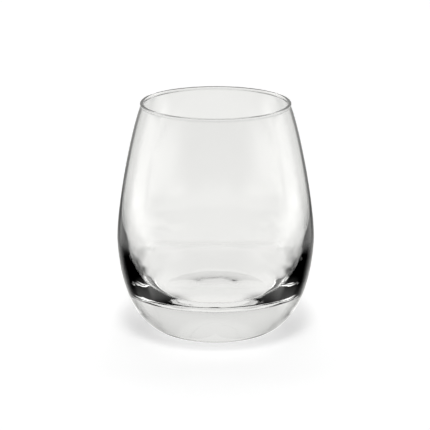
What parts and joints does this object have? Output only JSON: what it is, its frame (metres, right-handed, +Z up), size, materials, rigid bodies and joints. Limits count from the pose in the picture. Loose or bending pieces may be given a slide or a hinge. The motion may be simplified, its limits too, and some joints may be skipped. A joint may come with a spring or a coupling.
{
  "type": "stemless wine glass",
  "caption": "Clear stemless wine glass with a tapered mouth, rounded lip, full belly and heavy rounded base on a small flat foot.",
  "frame": {"origin": "centre of the foot, in the plane of the table", "axes": "+Z up along the axis of the glass, from the foot to the mouth; the glass is round, so X and Y are alike"},
  "size_m": [0.082, 0.082, 0.096],
  "materials": {
    "clear_glass": "clear soda-lime glass, smooth and glossy, fire-polished lip"
  },
  "bodies": {
    "root": {"wine_glass": "clear_glass"}
  },
  "joints": []
}
